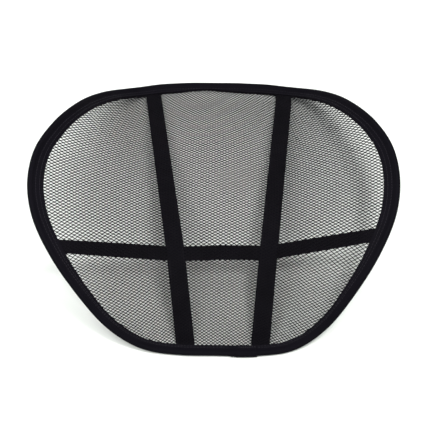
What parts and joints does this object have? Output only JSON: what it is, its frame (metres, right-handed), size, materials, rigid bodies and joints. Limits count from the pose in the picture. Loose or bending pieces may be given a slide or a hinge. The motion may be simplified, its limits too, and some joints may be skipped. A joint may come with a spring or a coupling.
{
  "type": "mesh lumbar support",
  "caption": "Saddle-shaped mesh lumbar support: net stretched in a tape-bound spring-wire loop, with upright stays and a cross strap behind.",
  "frame": {"origin": "centre of the box round the support, at the level of the flat back faces of its top and bottom edges", "axes": "+X across the support towards the right as it is seen from the front, +Y to its top edge, +Z out of its front (sitter's) face; it lies on its back"},
  "size_m": [0.399, 0.3674, 0.1012],
  "materials": {
    "spring_wire": "drawn spring steel",
    "ferrule": "crimped",
    "binding_tape": "ribbed polyester tape",
    "net": "open diamond knit",
    "band_tape": "woven tape",
    "stay_steel": "flat spring steel",
    "stay_tip": "moulded",
    "strap_elastic": "woven elastic"
  },
  "bodies": {
    "root": {"perimeter_wire": "spring_wire", "wire_ferrule": "ferrule", "edge_binding": "binding_tape", "mesh_panel": "net", "left_band_front": "band_tape", "right_band_front": "band_tape", "left_band_back": "band_tape", "right_band_back": "band_tape", "left_stay": "stay_steel", "right_stay": "stay_steel", "left_stay_tip_low": "stay_tip", "left_stay_tip_high": "stay_tip", "right_stay_tip_low": "stay_tip", "right_stay_tip_high": "stay_tip", "cross_strap": "strap_elastic"}
  },
  "joints": []
}
